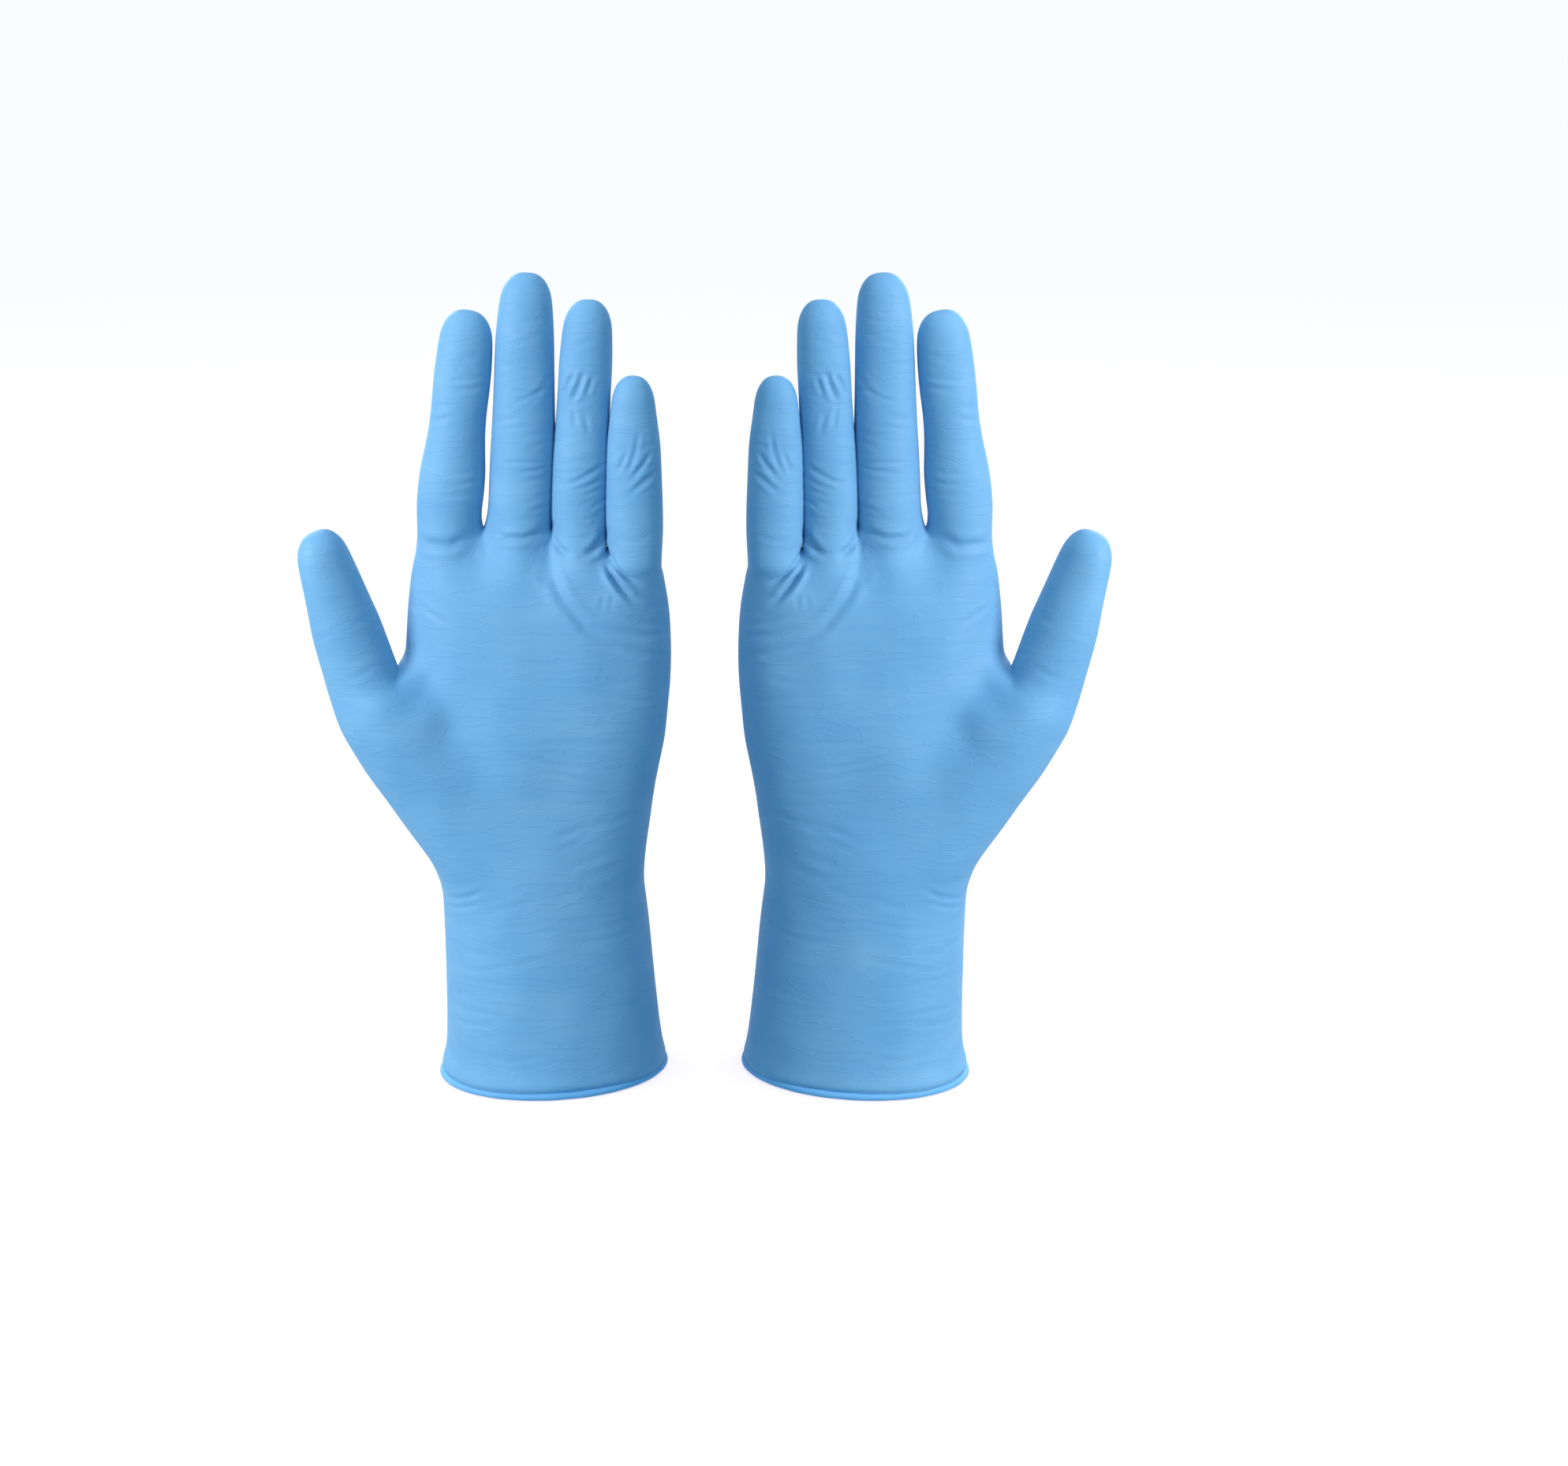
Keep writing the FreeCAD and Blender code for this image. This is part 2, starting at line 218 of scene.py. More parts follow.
def digit_ring(digit, along, shrink=1.0):
    """Ten points around a digit. The oval is turned by the digit's own turn."""
    place, across, deep, up = digit_frame(digit)
    profile = np.array(DIGITS[digit]["profile"])
    widths = (np.interp(along, profile[:, 0], profile[:, j]) for j in (1, 2))
    a, b = (width * shrink * DIGIT_SWELL for width in widths)
    turn = math.radians(DIGITS[digit]["turns"][2])
    x, y = a * np.cos(RING_ANGLES - turn), b * np.sin(RING_ANGLES - turn)
    x, y = x * math.cos(turn) - y * math.sin(turn), x * math.sin(turn) + y * math.cos(turn)
    return place + up * along + np.outer(x, across) + np.outer(y, deep)


def stations(digit):
    """Distances of a digit's full rings along it, and those of its cuts, which have a ring."""
    lengths = DIGITS[digit]["lengths"]
    cuts = [FIRST_CUT[digit]]
    if len(lengths) == 3:
        cuts.append(lengths[0] + lengths[1] / 2)
    stops = [FIRST_RING] + cuts + [sum(lengths) - CROWN[digit]]
    levels = [stops[0]]
    for low, high in zip(stops, stops[1:]):
        count = max(1, round((high - low) / RING_SPACING))
        levels += [low + (high - low) * (j + 1) / count for j in range(count)]
    return levels, cuts


def add_digit(cage, digit, base, first_piece):
    """A digit's film, from its base loop to its tip. Returns the next piece's number."""
    levels, cuts = stations(digit)
    piece, lower = first_piece, base
    for level in levels:
        upper = cage.ring(digit_ring(digit, level))
        cage.band(lower, upper, piece)
        lower = upper
        if any(abs(level - cut) < 0.01 for cut in cuts):
            piece += 1
    crown = CROWN[digit] * CROWN_RISE
    for latitude in CROWN_LATITUDES:
        angle = math.radians(latitude)
        upper = cage.ring(digit_ring(digit, levels[-1], math.cos(angle) ** CROWN_ROUNDNESS))
        lift = digit_frame(digit)[3] * crown * math.sin(angle)
        for j in upper:
            cage.points[j] = tuple(np.array(cage.points[j]) + lift)
        cage.band(lower, upper, piece)
        lower = upper
    close_crown(cage, digit, lower, levels[-1] + crown, piece)
    return piece + 1


def close_crown(cage, digit, loop, along, piece):
    """Three by two quads over the top of a digit."""
    f0, f1, f2, f3, right, b3, b2, b1, b0, left = loop
    place, _, _, up = digit_frame(digit)
    height = place + up * along
    ends = [np.array(cage.points[j]) for j in (left, right)]
    middle = [ends[0] * (1 - t) + ends[1] * t for t in (1 / 3, 2 / 3)]
    lift = up * ((height - ends[0]) @ up)
    m1, m2 = (cage.add(point + lift) for point in middle)
    for quad in ((f0, f1, m1, left), (f1, f2, m2, m1), (f2, f3, right, m2),
                 (left, m1, b1, b0), (m1, m2, b2, b1), (m2, right, b3, b2)):
        cage.quad(*quad, piece)


def knuckle_columns():
    """Across places of the thirteen columns that run up into the fingers."""
    columns = []
    for finger in FINGERS:
        x = DIGITS[finger]["place"][0]
        half = DIGITS[finger]["profile"][0][1]
        columns.append([x + half * c for c in (-0.83, -0.31, 0.31, 0.83)])
    merged = columns[0][:]
    for web, following in zip(WEBS, columns[1:]):
        merged[-1] = web[0]
        merged += following[1:]
    return np.array(merged)


def trunk_ring(height, with_thumb):
    """A ring around the trunk from its radial side: front, ulnar side, back."""
    cx, cy, a, _, yaw = trunk_at(height)
    low_split, high_split = SPLIT_HEIGHTS
    split = float(np.clip((height - low_split) / (high_split - low_split), 0, 1))
    tilt = THUMB_TILT * split if with_thumb else 0.0
    knuckles = knuckle_columns()
    left_palm, right = cx - a, cx + a
    share = (knuckles - RADIAL_EDGE) / (ULNAR_EDGE - RADIAL_EDGE)
    across = WIDE if with_thumb else NARROW
    left = left_palm
    if with_thumb:
        low = height
        for _ in range(3):
            bx, _, ba, _ = ball_at(low)
            left = min(left_palm, bx - ba)
            low = height + tilt * min(0.0, left - TILT_START)
    crotch = max(THUMB_WEB[0], left + 4)
    palm_x = left_palm + share * (right - left_palm)
    if with_thumb:
        palm_x = crotch + share * (right - crotch)
        palm_x[0] = crotch
        thumb_x = left + np.array([0.05, 0.27, 0.62]) * (crotch - left)
        target = np.concatenate([thumb_x, palm_x])
    else:
        target = palm_x
    angles = math.pi * (1 - np.arange(1, across + 1) * 2 / (2 * (across + 1)))
    even = (left + right) / 2 + (right - left) / 2 * np.cos(angles)
    xs = even * (1 - split) + target * split
    low_lump, high_lump = LUMPY_HEIGHTS
    lump = float(np.clip((height - low_lump) / (high_lump - low_lump), 0, 1)) * LUMPY_SHARE

    def place(x, front):
        z = height + tilt * min(0.0, x - TILT_START)
        y = skin(x, z, front, with_thumb)
        if lump:
            y = y * (1 - lump) + finger_skin(x, front) * lump
        return turned(x, y, z)

    def turned(x, y, z):
        angle = math.radians(yaw)
        dx, dy = x - cx, y - cy
        return (cx + dx * math.cos(angle) - dy * math.sin(angle),
                cy + dx * math.sin(angle) + dy * math.cos(angle), z)

    side_y = ball_at(height)[1] if with_thumb and left < left_palm else cy
    radial = turned(left, side_y, height + tilt * min(0.0, left - TILT_START))
    ulnar = turned(right, cy, height)
    front = [place(x, True) for x in xs]
    back = [place(x, False) for x in xs]
    return [radial] + front + [ulnar] + back[::-1]


def finger_skin(x, front):
    """The depth of the fingers' roots at a place across, with the dips between them."""
    sign = -1 if front else 1
    reach = OUTSIDE
    for finger in FINGERS:
        place, (_, a, b) = DIGITS[finger]["place"], DIGITS[finger]["profile"][0]
        reach = max(reach, sign * place[1] + half_ellipse(x, place[0], a * ROOT_SPREAD, b))
    return sign * max(reach, THINNEST)


def web_ring():
    """The last ring of the palm, where the fingers part."""
    xs = knuckle_columns()
    crest = np.interp(xs, *KNUCKLE_LINE)
    front, back = [], []
    for j, (x, z) in enumerate(zip(xs, crest)):
        between_fingers = j % COLUMNS == 0 and 0 < j < NARROW - 1
        for side, drop in ((front, 0.0), (back, BACK_DROP)):
            y = finger_skin(x, side is front)
            if between_fingers:
                y *= WEB_FLATNESS
            side.append((x, y, z - drop + (WEB_RISE if between_fingers else 0.0)))
    radial = (-85.3, 0.0, 165.0)
    ulnar = (-12.7, -1.0, 158.0)
    return [radial] + front + [ulnar] + back[::-1]


# Heights of the rings up to the thumb's base, and above it.
LOWER_HEIGHTS = (1.2, 2.4, 3.4, 5.5, 9.5, 14.5, 20, 26, 32, 38, 44, 49.5, 55, 60, 65, 70, 75.5, 81,
                 87, 93, 99, 105, 111, 117, 123)
UPPER_HEIGHTS = (131.5, 137, 142.5, 148, 153, 158)


def build_cage():
    """The whole glove's cage, and the name of each piece by its number."""
    cage = Cage()
    lower = None
    for height in LOWER_HEIGHTS:
        ring = cage.ring(trunk_ring(height, with_thumb=True))
        if lower:
            cage.band(lower, ring, 0 if height <= PALM_START else 1)
        lower = ring
    # The thumb's base loop and the palm's, which share the crest of the thumb's web.
    front, ulnar, back = lower[1:WIDE + 1], lower[WIDE + 1], lower[WIDE + 2:][::-1]
    web = cage.add(THUMB_WEB)
    thumb_loop = front[:COLUMNS + 1] + [web] + back[:COLUMNS + 1][::-1] + [lower[0]]
    names = ["cuff", "palm"]
    stub = cage.ring(digit_ring("thumb", THUMB_STUB))
    cage.band(thumb_loop, stub, 1)
    number = add_digit(cage, "thumb", stub, 2)
    names += ["thumb_root", "thumb_tip"]
    lower = [web] + front[COLUMNS:] + [ulnar] + back[COLUMNS:][::-1]
    for height in UPPER_HEIGHTS:
        ring = cage.ring(trunk_ring(height, with_thumb=False))
        cage.band(lower, ring, 1)
        lower = ring
    ring = cage.ring(web_ring())
    cage.band(lower, ring, 1)
    front, back = ring[1:NARROW + 1], ring[NARROW + 2:][::-1]
    sides = [ring[0]] + [cage.add(point) for point in WEBS] + [ring[NARROW + 1]]
    for count, finger in enumerate(FINGERS):
        first, end = COLUMNS * count, COLUMNS * (count + 1) + 1
        loop = front[first:end] + [sides[count + 1]] + back[first:end][::-1]
        loop.append(sides[count])
        number = add_digit(cage, finger, loop, number)
        names += [f"{finger}_{word}" for word in ("root", "mid", "tip")]
    return cage, names


def subdivided(cage):
    """The smoothed film as points in millimetres, quads, and the piece of each quad."""
    mesh = bpy.data.meshes.new("cage")
    mesh.from_pydata([tuple(c * MM for c in point) for point in cage.points], [], cage.faces)
    for _ in range(max(cage.pieces) + 1):
        mesh.materials.append(None)
    mesh.polygons.foreach_set("material_index", cage.pieces)
    holder = bpy.data.objects.new("cage", mesh)
    bpy.context.scene.collection.objects.link(holder)
    smooth = holder.modifiers.new("smooth", "SUBSURF")
    smooth.levels = smooth.render_levels = LEVELS
    smooth.use_limit_surface = True
    graph = bpy.context.evaluated_depsgraph_get()
    fine = holder.evaluated_get(graph).to_mesh()
    points = np.empty(len(fine.vertices) * 3)
    fine.vertices.foreach_get("co", points)
    quads = np.empty(len(fine.polygons) * 4, dtype=int)
    fine.polygons.foreach_get("vertices", quads)
    pieces = np.empty(len(fine.polygons), dtype=int)
    fine.polygons.foreach_get("material_index", pieces)
    holder.evaluated_get(graph).to_mesh_clear()
    bpy.data.objects.remove(holder)
    bpy.data.meshes.remove(mesh)
    return points.reshape(-1, 3) / MM, quads.reshape(-1, 4), pieces


def normals_of(points, quads):
    """A normal at each point, from the quads around it."""
    a, b, c, d = (points[quads[:, j]] for j in range(4))
    face = np.cross(c - a, d - b)
    normals = np.zeros_like(points)
    for j in range(4):
        np.add.at(normals, quads[:, j], face)
    return normals / np.linalg.norm(normals, axis=1, keepdims=True)


# ---------------------------------------------------------------- creases
# Creases on the palm's side, about where the photograph shows them: depth, half width, and then
# the places across and up that they run by.
FRONT_CREASES = (
    # index finger
    (0.14, 0.6, (-76.2, 214.4), (-72.6, 214.3), (-67.5, 214.7), (-62.8, 215.4)),
    (0.10, 0.6, (-70.4, 220.5), (-66.0, 217.3)),
    (0.08, 0.6, (-72.0, 211.6), (-64.0, 212.4)),
    (0.10, 0.8, (-76.0, 187.6), (-69.5, 187.4), (-64.0, 188.2)),
    (0.14, 0.7, (-75.0, 184.4), (-70.8, 184.0), (-65.2, 185.4)),
    (0.10, 0.6, (-74.0, 180.6), (-67.0, 180.8)),
    (0.60, 1.4, (-84.5, 167.0), (-80.5, 166.2), (-74.5, 166.0), (-69.0, 168.0)),
    # middle finger
    (0.10, 0.6, (-52.0, 231.7), (-45.2, 232.1)),
    (0.08, 0.6, (-55.0, 228.2), (-46.4, 227.8)),
    (0.09, 0.6, (-60.0, 218.8), (-54.0, 219.4)),
    (0.20, 0.6, (-55.4, 208.5), (-51.5, 209.3), (-47.7, 211.2), (-44.2, 212.9)),
    (0.14, 0.6, (-51.5, 207.6), (-46.6, 210.2)),
    (0.14, 0.7, (-49.6, 210.4), (-46.8, 212.8), (-44.5, 216.0)),
    (0.08, 0.6, (-59.0, 200.7), (-48.0, 201.3)),
    (0.14, 0.6, (-59.8, 190.5), (-53.0, 191.0), (-44.6, 190.1)),
    (0.18, 0.6, (-55.4, 187.7), (-50.3, 188.3), (-44.4, 189.4)),
    (0.10, 0.6, (-53.5, 184.8), (-45.0, 186.0)),
    (0.14, 0.6, (-52.0, 176.2), (-45.0, 177.9)),
    (0.14, 0.6, (-56.5, 173.6), (-50.6, 173.8), (-45.2, 175.6)),
    (0.16, 0.6, (-54.0, 171.4), (-49.0, 172.2), (-45.2, 174.0)),
    (0.80, 0.9, (-61.8, 169.8), (-58.6, 168.1), (-52.8, 168.4), (-47.7, 170.3), (-44.8, 172.2)),
    (0.45, 0.8, (-52.4, 166.7), (-47.0, 168.8), (-44.9, 171.2)),
    (0.30, 0.8, (-64.0, 169.6), (-61.8, 167.0), (-60.2, 164.2)),
    (0.18, 0.9, (-64.2, 167.0), (-63.8, 162.6)),
    # ring finger
    (0.40, 0.7, (-37.4, 217.2), (-39.4, 213.4), (-41.4, 209.2)),
    (0.40, 0.8, (-34.6, 217.6), (-36.2, 213.0), (-38.4, 208.0)),
    (0.24, 0.7, (-32.2, 216.0), (-34.2, 210.0)),
    (0.22, 0.7, (-38.2, 207.4), (-37.2, 200.6)),
    (0.20, 0.7, (-34.8, 205.4), (-33.4, 199.0)),
    (0.28, 0.7, (-41.0, 184.3), (-36.9, 185.5), (-31.7, 188.6), (-28.8, 190.5)),
    (0.20, 0.6, (-38.6, 183.1), (-34.0, 183.7), (-28.8, 186.4)),
    (0.16, 0.6, (-36.0, 181.0), (-28.8, 183.4)),
    (0.22, 0.6, (-33.2, 177.3), (-28.8, 180.0)),
    (0.20, 0.6, (-37.0, 173.6), (-32.3, 174.3), (-28.8, 177.2)),
    (0.18, 0.6, (-37.6, 171.8), (-33.0, 172.3), (-29.2, 175.2)),
    (0.95, 1.0, (-36.2, 163.6), (-32.9, 164.7), (-30.4, 167.4), (-29.2, 170.4)),
    (0.75, 0.9, (-44.6, 167.8), (-42.4, 164.8), (-39.4, 163.4)),
    (0.34, 0.8, (-45.6, 166.8), (-45.2, 163.2)),
    # little finger
    (0.24, 0.7, (-19.0, 200.4), (-19.9, 194.4), (-22.6, 187.4)),
    (0.28, 0.7, (-22.4, 194.0), (-25.2, 188.4)),
    (0.34, 0.7, (-15.2, 194.6), (-17.9, 190.4), (-21.6, 185.8)),
    (0.34, 0.7, (-13.4, 188.8), (-17.4, 185.8), (-22.0, 181.9)),
    (0.18, 0.6, (-14.0, 186.8), (-20.4, 182.6)),
    (0.14, 0.8, (-25.8, 168.7), (-20.8, 167.8), (-15.2, 169.6)),
    (0.80, 0.8, (-29.6, 165.0), (-26.0, 159.7), (-22.6, 156.8), (-19.2, 154.8)),
    (0.90, 0.9, (-29.6, 162.8), (-27.1, 157.4), (-22.5, 151.0), (-19.6, 148.8)),
    (0.60, 0.8, (-29.0, 159.4), (-26.5, 155.6), (-23.8, 151.2)),
    (0.16, 0.8, (-27.0, 152.4), (-27.8, 147.8)),
    (0.14, 0.8, (-29.4, 151.8), (-30.6, 147.4)),
    # palm
    (0.50, 1.5, (-46.2, 166.0), (-45.1, 158.0), (-41.2, 150.3), (-35.1, 142.6), (-26.5, 136.2)),
    (0.24, 1.2, (-48.6, 160.0), (-46.0, 154.4)),
    (0.16, 0.9, (-87.4, 149.6), (-83.4, 147.6), (-78.0, 144.5), (-74.4, 142.4)),
    (0.14, 0.8, (-87.4, 147.8), (-84.0, 145.8)),
    (0.22, 1.0, (-28.4, 142.8), (-20.6, 139.5), (-11.0, 137.8)),
    (0.28, 1.1, (-33.8, 139.6), (-26.7, 136.4), (-19.0, 133.7), (-11.0, 132.0)),
    (0.14, 0.9, (-25.2, 145.8), (-17.4, 142.6), (-11.4, 141.2)),
    (0.12, 0.8, (-30.0, 125.6), (-23.6, 125.2), (-18.2, 126.4)),
    (0.12, 0.8, (-26.8, 121.3), (-18.4, 119.0), (-12.2, 118.6)),
    (0.13, 0.8, (-58.2, 105.2), (-52.0, 103.9), (-44.3, 101.6), (-30.4, 99.2)),
    (0.12, 0.8, (-51.2, 100.6), (-42.8, 98.5), (-33.6, 95.8), (-30.4, 95.4)),
    (0.08, 0.8, (-50.0, 108.4), (-38.0, 107.6)),
    (0.08, 0.8, (-46.0, 93.6), (-35.0, 92.2)),
    # wrist and sleeve
    (0.22, 0.9, (-78.6, 58.6), (-70.2, 61.4), (-65.0, 64.8)),
    (0.18, 0.8, (-79.0, 55.4), (-71.5, 58.2), (-66.5, 60.4)),
    (0.12, 0.8, (-79.0, 45.4), (-70.5, 46.0)),
    (0.12, 0.9, (-78.0, 26.2), (-67.0, 26.2), (-56.5, 25.0)),
    (0.11, 0.8, (-77.5, 21.2), (-63.0, 22.2)),
)


CREASE_GAIN = 1.3
LIP_HEIGHT = 0.55  # of a crease's lips, as a share of its depth
LIP_PLACE = 1.8  # from the groove's middle to a lip, in half widths
CREASE_END = 0.3  # the share of a crease's length over which each end fades
SLOPE_SPREAD = 7  # degrees
SAG_SPREAD = 0.06  # of a crease's middle, as a share of half its length


def smooth_step(value):
    value = np.clip(value, 0, 1)
    return value * value * (3 - 2 * value)


def relief(points, creases):
    """How far the creases raise each point. Their grooves lie low and their lips stand up."""
    flat = points[:, (0, 2)]
    raised = np.zeros(len(points))
    for depth, half_width, *line in creases:
        line = np.array(line, dtype=float)
        margin = 5 * half_width
        close = ((flat > line.min(0) - margin) & (flat < line.max(0) + margin)).all(1)
        local = flat[close]
        lengths = np.linalg.norm(np.diff(line, axis=0), axis=1)
        gap = np.full(len(local), np.inf)
        along = np.zeros(len(local))
        for a, b, start, length in zip(line, line[1:], np.cumsum(lengths) - lengths, lengths):
            t = np.clip((local - a) @ (b - a) / length ** 2, 0, 1)
            distance = np.linalg.norm(local - a - t[:, None] * (b - a), axis=1)
            along = np.where(distance < gap, start + t * length, along)
            gap = np.minimum(gap, distance)
        whole = lengths.sum()
        fade = 0.1 + 0.9 * smooth_step(np.minimum(along, whole - along) / (CREASE_END * whole))
        groove = np.exp(-(gap / half_width) ** 1.7)
        lips = np.exp(-((gap - LIP_PLACE * half_width) / half_width) ** 2)
        raised[close] += depth * fade * (LIP_HEIGHT * lips - groove)
    return raised


def scattered_creases(count, across, up, slope, length, depth, half_width):
    """Faint creases strewn over a stretch of film, which all run about the same way."""
    creases = []
    for _ in range(count):
        x, z = rng.uniform(*across), rng.uniform(*up)
        angle = math.radians(rng.normal(slope, SLOPE_SPREAD))
        reach = rng.uniform(*length) / 2
        dx, dz = reach * math.cos(angle), reach * math.sin(angle)
        sag = rng.normal(0, SAG_SPREAD) * reach
        line = ((x - dx, z - dz), (x, z + sag), (x + dx, z + dz))
        creases.append((rng.uniform(*depth), rng.uniform(*half_width), *line))
    return tuple(creases)


def knuckle_creases():
    """Soft creases across the backs of the fingers at their folds."""
    apart = 2.1
    creases = []
    for digit in FINGERS:
        place, _, _, up = digit_frame(digit)
        half = DIGITS[digit]["profile"][0][1]
        first, second, _ = DIGITS[digit]["lengths"]
        for along, count, depth in ((first, 5, 0.26), (first + second, 3, 0.16), (1.0, 3, 0.22)):
            for j in range(count):
                step = j - (count - 1) / 2
                centre = place + up * (along + step * apart + rng.normal(0, 0.35))
                x, z, bow = centre[0] + rng.normal(0, 0.8), centre[2], step * 0.5
                left, right = rng.uniform(0.3, 0.8, 2) * half
                tip = rng.normal(0, 0.4)
                line = ((x - left, z - bow - tip), (x, z + 0.4 * bow), (x + right, z - bow + tip))
                creases.append((depth * rng.uniform(0.4, 1.2), rng.uniform(0.6, 0.9), *line))
    return tuple(creases)


def bumps(points, places):
    """How far broad rounded swellings raise each point."""
    raised = np.zeros(len(points))
    for height, width, x, z in places:
        distance = np.hypot(points[:, 0] - x, points[:, 2] - z)
        raised += height * np.exp(-(distance / width) ** 2)
    return raised


# Swellings: how far they raise, how wide they are, and their places across and up.
FRONT_SWELLINGS = (
    (0.9, 9.0, -25.0, 150.0), (0.7, 8.0, -40.0, 157.0), (0.7, 8.0, -57.0, 159.0),
    (0.8, 8.0, -75.0, 155.0), (1.1, 17.0, -24.0, 105.0), (-0.5, 14.0, -50.0, 128.0),
    (2.4, 17.0, -64.0, 104.0), (1.5, 9.0, -79.0, 119.0),
)
BACK_SWELLINGS = (
    (1.3, 7.0, -76.0, 150.0), (1.5, 7.5, -56.5, 153.0), (1.3, 7.0, -38.5, 150.0),
    (1.1, 6.5, -23.0, 144.0), (-0.6, 5.0, -66.5, 149.0), (-0.6, 5.0, -47.5, 149.0),
    (-0.6, 5.0, -31.0, 146.0), (0.8, 8.0, -31.0, 68.0),
)
# Scattered creases: how many, where across and up, their slope in degrees, and the ranges of
# their lengths, depths and half widths.
FAINT_FRONT = (
    (22, (-78, -22), (88, 140), -8, (9, 26), (0.02, 0.06), (0.7, 1.1)),  # palm
    (18, (-76, -22), (8, 56), 0, (12, 30), (0.03, 0.07), (0.7, 1.1)),  # cuff
    (10, (-74, -28), (58, 84), 14, (8, 20), (0.05, 0.12), (0.9, 1.4)),  # wrist
    (9, (-82, -64), (175, 228), 8, (6, 13), (0.04, 0.10), (0.7, 1.0)),  # index finger
    (9, (-60, -45), (175, 238), 14, (6, 12), (0.04, 0.10), (0.7, 1.0)),  # middle finger
    (8, (-42, -30), (175, 228), 16, (6, 11), (0.04, 0.10), (0.7, 1.0)),  # ring finger
    (6, (-26, -15), (172, 208), 14, (5, 9), (0.04, 0.10), (0.7, 1.0)),  # little finger
    (7, (-116, -98), (118, 164), 24, (6, 12), (0.03, 0.08), (0.8, 1.1)),  # thumb
)
FAINT_BACK = (
    (34, (-80, -20), (66, 150), -4, (10, 28), (0.05, 0.14), (0.9, 1.4)),  # hand and wrist
    (20, (-76, -22), (8, 60), 2, (10, 28), (0.04, 0.11), (0.9, 1.4)),  # cuff
    (12, (-84, -16), (150, 166), 70, (6, 12), (0.06, 0.14), (0.8, 1.1)),  # between the knuckles
    (8, (-112, -96), (100, 150), -24, (6, 14), (0.05, 0.11), (0.8, 1.1)),  # thumb
)
WAVES = ((46, 0.22), (27, 0.14), (15, 0.07))  # lengths and heights of the film's unevenness
STILL_HEIGHT = 2.5  # no unevenness up to here, beside the bead
STILL_REACH = 6  # and all of it this much higher


def wrinkled(points, normals):
    """The film with its creases, swellings and fine unevenness."""
    front = smooth_step(-normals[:, 1] * 1.6 + 0.1)
    back = smooth_step(normals[:, 1] * 1.6 + 0.1)
    faint_front = sum((scattered_creases(*row) for row in FAINT_FRONT), ())
    faint_back = sum((scattered_creases(*row) for row in FAINT_BACK), ())
    raised = front * (CREASE_GAIN * relief(points, FRONT_CREASES + faint_front)
                      + bumps(points, FRONT_SWELLINGS))
    raised += back * (CREASE_GAIN * relief(points, knuckle_creases() + faint_back)
                      + bumps(points, BACK_SWELLINGS))
    wave = np.zeros(len(points))
    for length, height in WAVES:
        way = rng.normal(size=(4, 3))
        way *= (2 * math.pi / length) / np.linalg.norm(way, axis=1, keepdims=True)
        wave += height / 2 * np.sin(points @ way.T + rng.uniform(0, 6.28, 4)).sum(1)
    free = smooth_step((points[:, 2] - STILL_HEIGHT) / STILL_REACH)
    return points + normals * ((raised + wave) * free)[:, None]


# ---------------------------------------------------------------- materials
def node_tree(name):
    material = bpy.data.materials.new(name)
    material.use_nodes = True
    nodes, links = material.node_tree.nodes, material.node_tree.links
    return material, nodes, links, nodes["Principled BSDF"]


def noise(nodes, links, place, scale, detail=3.0, rough=0.5, stretch=(1, 1, 1)):
    """Noise in the object's own metres."""
    mapping = nodes.new("ShaderNodeMapping")
    mapping.inputs["Scale"].default_value = stretch
    links.new(place, mapping.inputs["Vector"])
    texture = nodes.new("ShaderNodeTexNoise")
    texture.inputs["Scale"].default_value = scale
    texture.inputs["Detail"].default_value = detail
    texture.inputs["Roughness"].default_value = rough
    links.new(mapping.outputs["Vector"], texture.inputs["Vector"])
    return texture.outputs["Fac"]


def blended(nodes, links, factor, first, second):
    mix = nodes.new("ShaderNodeMix")
    mix.data_type = "RGBA"
    for socket, value in ((mix.inputs["A"], first), (mix.inputs["B"], second)):
        if isinstance(value, tuple):
            socket.default_value = value + (1.0,)
        else:
            links.new(value, socket)
    links.new(factor, mix.inputs["Factor"])
    return mix.outputs["Result"]


def spread(nodes, links, value, low, high, to_low=0.0, to_high=1.0):
    ramp = nodes.new("ShaderNodeMapRange")
    ramp.inputs["From Min"].default_value = low
    ramp.inputs["From Max"].default_value = high
    ramp.inputs["To Min"].default_value = to_low
    ramp.inputs["To Max"].default_value = to_high
    links.new(value, ramp.inputs["Value"])
    return ramp.outputs["Result"]


def bumped(nodes, links, height, distance, strength, normal=None):
    bump = nodes.new("ShaderNodeBump")
    bump.inputs["Distance"].default_value = distance
    bump.inputs["Strength"].default_value = strength
    links.new(height, bump.inputs["Height"])
    if normal:
        links.new(normal, bump.inputs["Normal"])
    return bump.outputs["Normal"]


